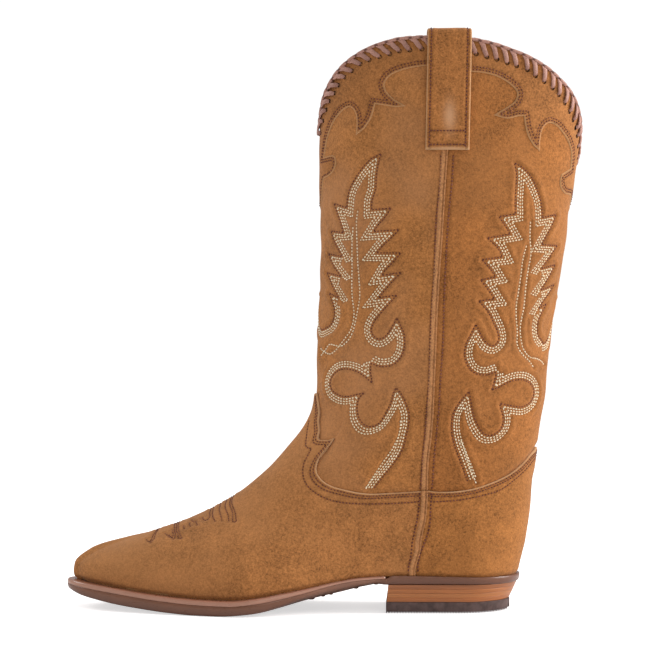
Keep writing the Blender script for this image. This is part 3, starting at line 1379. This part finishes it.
def rubber_lift(name):
    """Lowest layer of the heel, grooved across its underside."""
    offset = 0.15
    front = breast_x(0)
    back = heel_outline(3.0, offset)[:, 0].max() - 0.02

    def width(z, side):
        points = heel_outline(z, offset)
        half = len(points) // 2
        points = points[:half] if side > 0 else points[half:][::-1]
        order = np.argsort(points[:, 0], kind="stable")
        return np.interp(xs, points[order, 0], np.abs(points[order, 1]))

    ribs = np.arange(front, back - 1.2, 0.42)
    tail = back - np.array([1.1, 0.75, 0.5, 0.3, 0.15, 0.06, 0.0])
    xs = np.concatenate([ribs, tail])
    below = np.concatenate([np.where((np.arange(len(ribs)) % 4) < 2, 0.0, 0.75),
                            0.25 + 0 * tail])
    outer_low, outer_high = width(1.0, 1), width(6.0, 1)
    inner_low, inner_high = width(1.0, -1), width(6.0, -1)
    section = [
        (-outer_low + 0.3, below), (-outer_low, below + 0.3),
        (-(outer_low + outer_high) / 2, 3.4), (-outer_high, RUBBER_TOP - 0.25),
        (-outer_high + 0.3, RUBBER_TOP), (inner_high - 0.3, RUBBER_TOP),
        (inner_high, RUBBER_TOP - 0.25), ((inner_low + inner_high) / 2, 3.4),
        (inner_low, below + 0.3), (inner_low - 0.3, below)]
    rings = np.stack([np.stack([xs, y, 0 * xs + z], 1) for y, z in section], 1)
    # The back end reaches further out towards the ground
    rings[..., 0] += (1.9 * ramp(rings[..., 0], 10, back - 10)
                      * (1 - 0.35 * rings[..., 2] / RUBBER_TOP))
    rings[:, 5:, 0] += BREAST_SKEW * fall(rings[:, 5:, 0], front, 10)
    return solid(name, *tube(rings), sharp=40)


def pegs(name):
    """Oval peg heads under the waist of the sole."""
    batch = Batch()
    turn = np.arange(12) * 2 * math.pi / 12
    for x, radius in ((-81.8, 2.0), (-74.6, 1.25), (-69.8, 1.2), (-54.8, 1.5), (-42.5, 1.5)):
        for side, half in ((1, OUTER_HALF), (-1, INNER_HALF)):
            y = -side * (half(x) - 8.6)
            z = SOLE_Z(x) + 0.25
            rings = [np.stack([x + radius * share * np.cos(turn) * 1.15,
                               y + radius * share * np.sin(turn), z + rise + 0 * turn], 1)
                     for share, rise in ((1.0, 2.5), (1.02, 0.2), (0.9, -0.45), (0.55, -0.75))]
            batch.add(*outward(*tube(np.array(rings))))
    return batch.make(name)


# --- Build the pieces; each is keyed by the first CAD node it replaces

pieces = {
    "vamp": foot_patch("vamp_leather", True),
    "counter": foot_patch("counter_leather", False),
    "shaft_front": shaft_panel("shaft_front_panel", True),
    "shaft_back": shaft_panel("shaft_back_panel", False),
    "collar_front": collar("collar_front_leather", True),
    "collar_back": collar("collar_back_leather", False),
    "shaft_lining_front": lining("lining_front", True),
    "shaft_lining_back": lining("lining_back", False),
}
for side, word in ((1, "left"), (-1, "right")):
    pieces["side_welt_" + word] = piping("side_piping_" + word, side, 70.5, 345.2, foot=False)
    pieces["foot_welt_" + word] = piping("foot_piping_" + word, side,
                                         float(foot_height(121.0)) - 0.3, 73.9, foot=True)
pieces["edge_lace"] = lace("edge_lacing")
pieces["outsole"] = outsole()
pieces["welt"] = welt()
lift_height = (LIFTS_TOP - LIFTS_BOTTOM) / LIFT_COUNT
for i in range(LIFT_COUNT):
    pieces[f"heel_lift_{i + 1}"] = heel_layer(
        f"heel_lift_leather_{i + 1}", LIFTS_BOTTOM + i * lift_height + 0.02,
        LIFTS_BOTTOM + (i + 1) * lift_height - 0.02, seed=i + 3)
pieces["top_lift"] = rubber_lift("rubber_top_lift")
pieces["waist_pegs"] = pegs("waist_peg_heads")


def embroider(name, relief, offset, *sets):
    """Thread over the leather; each set is (lines, stitch settings)."""
    batch = Batch()
    for lines, stitch in sets:
        for line in lines:
            angle, z = to_angle(line[:, 0]), line[:, 1]
            base, normals = skin(angle, z), skin_normal(angle, z)
            height = offset(angle, z) + relief(base)[0]
            sew(batch, base + height[:, None] * normals, normals, **stitch)
    return batch.make(name)


edge_stitch = dict(pitch=1.95, radius=0.36, fill=0.64, lift=0.14)
threads = {
    "brown": embroider("embroidery_brown", shaft_relief, shaft_offset,
                       (brown_lines, dict(pitch=1.95, radius=0.38, fill=0.66, lift=0.16))),
    "cream": embroider("embroidery_cream", shaft_relief, shaft_offset,
                       (cream_lines, dict(pitch=2.0, radius=0.44, fill=0.74, lift=0.2))),
    "seam": embroider("side_seam_thread", shaft_relief, shaft_offset,
                      (shaft_seams, dict(pitch=2.1, radius=0.52, fill=0.66, lift=0.3))),
    "collar": embroider("collar_thread", collar_relief, collar_offset,
                        (collar_lines, edge_stitch)),
    "foot": embroider("foot_seam_thread", foot_relief, foot_offset, (foot_lines, edge_stitch),
                      (foot_seams, dict(pitch=2.1, radius=0.5, fill=0.66, lift=0.26))),
    "toe": embroider("toe_stitching", foot_relief, foot_offset,
                     (toe_lines, dict(pitch=1.9, radius=0.36, fill=0.8, lift=0.14))),
}
strap_batches = {"left": Batch(), "right": Batch()}
for side, word in ((1, "left"), (-1, "right")):
    pieces["pull_strap_" + word] = strap(f"pull_strap_{word}_leather", side,
                                         strap_batches[word])
for word, batch in strap_batches.items():
    threads["strap_" + word] = batch.make("strap_thread_" + word)

# --- Materials. Colours are written as 0-255 sRGB.


def srgb(*channels):
    return tuple((c / 255 / 12.92) if c / 255 <= 0.04045 else ((c / 255 + 0.055) / 1.055) ** 2.4
                 for c in channels) + (1.0,)


def scaled(color, factor):
    return tuple(min(1.0, channel * factor) for channel in color[:3]) + (1.0,)


class Material:
    """A Principled material and the nodes that feed it."""

    def __init__(self, name, rough=0.8, sheen=0.0, spec=0.3):
        self.data = bpy.data.materials.new(name)
        self.data.use_nodes = True
        self.tree = self.data.node_tree
        self.tree.nodes.clear()
        output = self.node("ShaderNodeOutputMaterial")
        self.shader = self.node("ShaderNodeBsdfPrincipled")
        self.tree.links.new(self.shader.outputs[0], output.inputs[0])
        self.set("Roughness", rough)
        self.set("Specular IOR Level", spec)
        self.set("Sheen Weight", sheen)
        self.set("Sheen Roughness", 0.45)
        self.coords = self.node("ShaderNodeTexCoord")

    def node(self, kind):
        return self.tree.nodes.new(kind)

    def put(self, socket, value):
        if hasattr(value, "is_output"):
            self.tree.links.new(value, socket)
        else:
            socket.default_value = value

    def set(self, name, value):
        self.put(self.shader.inputs[name], value)

    def noise(self, size, detail=3.0, stretch=(1, 1, 1), rough=0.55, lo=0.3, hi=0.7):
        """Noise with features of about size millimetres; lo..hi is spread to 0..1."""
        mapping = self.node("ShaderNodeMapping")
        self.tree.links.new(self.coords.outputs["Object"], mapping.inputs["Vector"])
        mapping.inputs["Scale"].default_value = stretch
        noise = self.node("ShaderNodeTexNoise")
        self.tree.links.new(mapping.outputs[0], noise.inputs["Vector"])
        noise.inputs["Scale"].default_value = 1000.0 / size
        noise.inputs["Detail"].default_value = detail
        noise.inputs["Roughness"].default_value = rough
        spread = self.node("ShaderNodeMapRange")
        self.tree.links.new(noise.outputs["Fac"], spread.inputs["Value"])
        spread.inputs["From Min"].default_value = lo
        spread.inputs["From Max"].default_value = hi
        return spread.outputs[0]

    def math(self, operation, first, second, clamp=False):
        node = self.node("ShaderNodeMath")
        node.operation = operation
        node.use_clamp = clamp
        self.put(node.inputs[0], first)
        self.put(node.inputs[1], second)
        return node.outputs[0]

    def mix(self, factor, first, second):
        node = self.node("ShaderNodeMix")
        node.data_type = "RGBA"
        self.put(node.inputs["Factor"], factor)
        self.put(node.inputs[6], first)
        self.put(node.inputs[7], second)
        return node.outputs[2]

    def share(self, value, amount):
        return self.math("MULTIPLY", value, amount, clamp=True)

    def attr(self, name, amount=None):
        node = self.node("ShaderNodeAttribute")
        node.attribute_name = name
        value = node.outputs["Fac"]
        return value if amount is None else self.share(value, amount)

    def weigh(self, *terms):
        """Weighted sum of (value, weight) terms."""
        total = None
        for value, weight in terms:
            term = self.math("MULTIPLY", value, weight)
            total = term if total is None else self.math("ADD", total, term)
        return total

    def bump(self, height, distance, strength=1.0):
        """Bump with its distance in millimetres."""
        node = self.node("ShaderNodeBump")
        node.inputs["Distance"].default_value = distance * 0.001
        node.inputs["Strength"].default_value = strength
        self.put(node.inputs["Height"], height)
        self.tree.links.new(node.outputs[0], self.shader.inputs["Normal"])


def suede(name, base, var=0.74, groove=(96, 52, 34), edge=(206, 166, 126), warm=None):
    """Napped leather; var is how far its tone varies, warm a second tone in soft patches."""
    base = srgb(*base)
    mat = Material(name, rough=0.86, sheen=0.14, spec=0.12)
    big = mat.noise(46, 2, lo=0.36, hi=0.66)
    mid = mat.noise(15, 2, lo=0.34, hi=0.66)
    fine = mat.noise(2.1, 5, lo=0.34, hi=0.66, rough=0.8)
    nap = mat.noise(0.9, 1, lo=0.34, hi=0.66)
    tone = mat.weigh((big, 0.14), (mid, 0.16), (fine, 0.42), (nap, 0.28))
    color = mat.mix(tone, scaled(base, 1 - var), scaled(base, 1 + var))
    fleck = mat.noise(1.5, 3, lo=0.46, hi=0.74, rough=0.75)
    color = mat.mix(mat.share(fleck, 0.5 * min(1, var / 0.5)), color, scaled(base, 1.9))
    if warm:
        patches = mat.noise(75, 2, lo=0.42, hi=0.72)
        color = mat.mix(mat.share(patches, 0.6), color, srgb(*warm))
    color = mat.mix(mat.attr("groove", 0.3), color, srgb(*groove))
    color = mat.mix(mat.attr("edge", 0.85), color, srgb(*edge))
    color = mat.mix(mat.attr("worn", 0.8), color, srgb(196, 150, 112))
    color = mat.mix(mat.attr("hole"), color, srgb(34, 18, 14))
    mat.set("Base Color", color)
    polish = mat.math("MULTIPLY", mat.attr("worn"), 0.35)
    mat.set("Roughness", mat.math("SUBTRACT", 0.88, polish))
    mat.set("Sheen Tint", (1.0, 0.82, 0.66, 1.0))
    mat.bump(mat.weigh((mid, 0.4), (fine, 0.4), (nap, 0.2)), distance=0.2, strength=0.8)
    return mat.data


def thread(name, dark, light, rough=0.55, sheen=0.0):
    """Stitches or lace, each between a dark and a light tone by its tint."""
    mat = Material(name, rough=rough, sheen=sheen)
    color = mat.mix(mat.attr("tint"), srgb(*dark), srgb(*light))
    fine = mat.noise(0.8, 2)
    twist = mat.math("MULTIPLY", fine, 0.35)
    mat.set("Base Color", mat.mix(twist, color, scaled(srgb(*dark), 0.72)))
    mat.bump(fine, distance=0.08, strength=0.6)
    return mat.data


def edge_leather(name, base, rough):
    """Burnished edge: streaks along it, darker where grooved or low, a soft polish."""
    base = srgb(*base)
    mat = Material(name, rough=rough, spec=0.45)
    streaks = mat.noise(16, 3, stretch=(0.12, 0.12, 1.6))
    fine = mat.noise(1.6, 3, stretch=(0.25, 0.25, 1.5))
    big = mat.noise(34, 3)
    tone = mat.weigh((streaks, 0.4), (fine, 0.25), (big, 0.35))
    color = mat.mix(tone, scaled(base, 0.76), scaled(base, 1.24))
    color = mat.mix(mat.attr("groove", 0.7), color, srgb(72, 44, 36))
    color = mat.mix(mat.attr("low", 0.5), color, srgb(84, 54, 44))
    color = mat.mix(mat.attr("worn"), color, srgb(200, 156, 134))
    mat.set("Base Color", color)
    mat.set("Roughness", mat.math("ADD", rough - 0.06, mat.math("MULTIPLY", fine, 0.2)))
    mat.set("Coat Weight", 0.2)
    mat.set("Coat Roughness", 0.24)
    mat.bump(mat.weigh((fine, 0.6), (streaks, 0.4)), distance=0.12, strength=0.6)
    return mat.data


def stacked(name, base):
    """Stacked heel leather: fine level grain lines that vary in tone."""
    base = srgb(*base)
    mat = Material(name, rough=0.42, spec=0.4)
    coarse = mat.noise(9, 4, stretch=(0.06, 0.06, 2.2))
    fine = mat.noise(3.2, 4, stretch=(0.10, 0.10, 2.6))
    big = mat.noise(26, 2)
    tone = mat.weigh((coarse, 0.42), (fine, 0.38), (big, 0.2))
    mat.set("Base Color", mat.mix(tone, scaled(base, 0.56), scaled(base, 1.3)))
    mat.bump(fine, distance=0.1, strength=0.5)
    mat.set("Coat Weight", 0.15)
    mat.set("Coat Roughness", 0.3)
    return mat.data


def rubber(name):
    mat = Material(name, rough=0.62)
    fine, big = mat.noise(3.4, 4), mat.noise(14, 3)
    mat.set("Base Color", mat.mix(mat.weigh((fine, 0.5), (big, 0.5)),
                                  srgb(58, 44, 42), srgb(108, 88, 84)))
    mat.bump(fine, distance=0.2, strength=0.7)
    return mat.data


def plain(name, base, rough, metal=0.0):
    base = srgb(*base)
    mat = Material(name, rough=rough)
    noise = mat.noise(4, 3)
    mat.set("Base Color", mat.mix(noise, scaled(base, 0.85), scaled(base, 1.15)))
    mat.set("Metallic", metal)
    mat.bump(noise, distance=0.05, strength=0.4)
    return mat.data


looks = {
    "shaft": suede("suede_shaft", (155, 102, 56), warm=(182, 130, 90)),
    "shaft_back": suede("suede_shaft_back", (149, 95, 50), warm=(160, 108, 64)),
    "vamp": suede("suede_vamp", (158, 105, 60), warm=(178, 124, 78)),
    "counter": suede("suede_counter", (158, 103, 55), warm=(150, 98, 54)),
    "collar": suede("suede_collar", (150, 98, 55), groove=(74, 40, 26), edge=(188, 146, 104),
                    warm=(160, 108, 62)),
    "strap": suede("suede_strap", (154, 100, 55), groove=(84, 46, 30), edge=(190, 150, 110)),
    "piping": suede("suede_piping", (164, 112, 70), groove=(70, 36, 26), edge=(196, 152, 112)),
    "lining": suede("lining_leather", (188, 156, 118), var=0.12),
    "insole": suede("insole_leather", (184, 148, 106), var=0.12),
    "stiffener": suede("stiffener_fibre", (170, 138, 100), var=0.12),
    "cork": suede("cork_grain", (150, 108, 70), var=0.3),
    "brown": thread("thread_brown", (84, 40, 32), (120, 66, 54)),
    "cream": thread("thread_cream", (232, 210, 172), (252, 240, 212), sheen=0.2),
    "rust": thread("thread_rust", (102, 56, 40), (134, 80, 60)),
    "lacing": thread("lace_leather", (84, 48, 40), (212, 160, 142), rough=0.5),
    "edge": edge_leather("burnished_edge", (112, 69, 46), rough=0.3),
    "welt": edge_leather("burnished_welt", (144, 94, 72), rough=0.26),
    "lift_1": stacked("stacked_heel_1", (166, 99, 52)),
    "lift_2": stacked("stacked_heel_2", (176, 110, 60)),
    "lift_3": stacked("stacked_heel_3", (168, 102, 54)),
    "lift_4": stacked("stacked_heel_4", (152, 92, 52)),
    "rubber": rubber("heel_rubber"),
    "pegs": plain("peg_heads", (52, 32, 28), rough=0.5),
    "steel": plain("spring_steel", (150, 150, 152), rough=0.3, metal=1.0),
    "brass": plain("nail_brass", (180, 140, 70), rough=0.3, metal=1.0),
}

# --- Each piece on its body


def paint(obj, look):
    obj.data.materials.clear()
    obj.data.materials.append(looks[look])


def attach(obj, body):
    if body == "blend":
        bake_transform(obj)
    elif body.startswith("pull_strap"):
        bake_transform(obj)
    else:
        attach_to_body(obj, body)


# CAD nodes replaced, look, slot, body
PIECES = [
    ("vamp vamp_tongue", "vamp", "suede", "blend"),
    ("counter", "counter", "suede", "blend"),
    ("shaft_front", "shaft", "suede", "blend"),
    ("shaft_back", "shaft_back", "suede", "blend"),
    ("collar_front", "collar", "suede", "shaft"),
    ("collar_back", "collar", "suede", "shaft"),
    ("shaft_lining_front vamp_lining", "lining", "lining", "blend"),
    ("shaft_lining_back heel_lining", "lining", "lining", "blend"),
    ("side_welt_left", "piping", "piping", "blend"),
    ("side_welt_right", "piping", "piping", "blend"),
    ("foot_welt_left", "piping", "piping", "blend"),
    ("foot_welt_right", "piping", "piping", "blend"),
    ("edge_lace", "lacing", "lace", "shaft"),
    ("outsole", "edge", "sole_leather", "foot"),
    ("welt", "welt", "welt", "foot"),
    ("heel_lift_1", "lift_1", "heel_leather", "foot"),
    ("heel_lift_2", "lift_2", "heel_leather", "foot"),
    ("heel_lift_3", "lift_3", "heel_leather", "foot"),
    ("heel_lift_4", "lift_4", "heel_leather", "foot"),
    ("top_lift", "rubber", "rubber", "foot"),
    ("waist_pegs", "pegs", "pegs", "foot"),
    ("pull_strap_left", "strap", "strap", "pull_strap_left"),
    ("pull_strap_right", "strap", "strap", "pull_strap_right"),
]
for nodes, look, slot, body in PIECES:
    nodes = nodes.split()
    obj = pieces[nodes[0]]
    paint(obj, look)
    attach(obj, body)
    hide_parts(*nodes)

# Thread, look, slot, body
THREADS = [
    ("brown", "brown", "strap", "blend"),
    ("cream", "cream", "lining", "blend"),
    ("seam", "rust", "strap", "blend"),
    ("collar", "brown", "strap", "shaft"),
    ("foot", "brown", "strap", "blend"),
    ("toe", "rust", "strap", "foot"),
    ("strap_left", "brown", "strap", "pull_strap_left"),
    ("strap_right", "brown", "strap", "pull_strap_right"),
]
for key, look, slot, body in THREADS:
    paint(threads[key], look)
    attach(threads[key], body)

# CAD pieces that keep their own mesh
KEPT = {"toe_puff": "stiffener", "heel_stiffener": "stiffener", "insole": "insole",
        "sock_liner": "insole", "shank": "steel", "cork_filler": "cork", "heel_nails": "brass"}
for node, look in KEPT.items():
    paint(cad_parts[node], look)

# --- Floor, lights, world and camera, in metres


def make_floor():
    """Pale floor that looks brighter to the camera than to the boot."""
    bpy.ops.mesh.primitive_plane_add(size=14, location=(-0.07, 2.0, -0.0002))
    floor = bpy.context.object
    floor.name = "floor"
    mat = Material("floor_pale", rough=0.9, spec=0.1)
    mat.set("Base Color", (0.92, 0.91, 0.91, 1))
    mat.set("Emission Color", (1.0, 0.99, 0.99, 1.0))
    seen = mat.node("ShaderNodeLightPath").outputs["Is Camera Ray"]
    mat.set("Emission Strength", mat.math("MULTIPLY", seen, 0.62))
    floor.data.materials.append(mat.data)


def area_light(name, location, aim, size, power, color=(1, 1, 1)):
    light = bpy.data.lights.new(name, "AREA")
    light.shape = "DISK"
    light.size = size
    light.energy = power
    light.color = color
    obj = bpy.data.objects.new(name, light)
    obj.location = location
    facing = Vector(aim) - Vector(location)
    obj.rotation_euler = facing.to_track_quat("-Z", "Y").to_euler()
    bpy.context.scene.collection.objects.link(obj)


def make_world():
    """White world: soft as light, brighter where the camera sees it."""
    world = bpy.data.worlds.new("studio")
    world.use_nodes = True
    nodes, links = world.node_tree.nodes, world.node_tree.links
    nodes.clear()
    output = nodes.new("ShaderNodeOutputWorld")
    mix = nodes.new("ShaderNodeMixShader")
    path = nodes.new("ShaderNodeLightPath")
    links.new(path.outputs["Is Camera Ray"], mix.inputs[0])
    for socket, strength in ((1, 0.55), (2, 1.05)):
        background = nodes.new("ShaderNodeBackground")
        background.inputs["Color"].default_value = (1, 1, 1, 1)
        background.inputs["Strength"].default_value = strength
        links.new(background.outputs[0], mix.inputs[socket])
    links.new(mix.outputs[0], output.inputs[0])
    bpy.context.scene.world = world


def make_camera():
    """Level camera on the boot's outer side."""
    camera = bpy.data.cameras.new("camera")
    camera.sensor_width = 36
    camera.lens = 118.3
    camera.clip_start = 0.05
    camera.clip_end = 50
    obj = bpy.data.objects.new("camera", camera)
    obj.location = (-0.074, -1.310, 0.174)
    obj.rotation_euler = (math.radians(90), 0, 0)
    bpy.context.scene.collection.objects.link(obj)
    bpy.context.scene.camera = obj


make_floor()
area_light("key", location=(0.5, -1.7, 1.0), aim=(0, 0, 0.2), size=0.8, power=3.5,
           color=(1.0, 0.99, 0.975))
area_light("side_right", location=(1.35, -0.15, 0.7), aim=(0, 0, 0.15), size=0.8, power=20,
           color=(1.0, 0.99, 0.98))
area_light("back_left", location=(-1.35, 0.3, 0.95), aim=(-0.05, 0, 0.34), size=0.7, power=6.5)
area_light("top", location=(0.1, 0.2, 1.7), aim=(0, 0, 0.2), size=0.9, power=5)
make_world()
bpy.context.scene.view_settings.view_transform = "Standard"
make_camera()

bpy.context.view_layer.update()
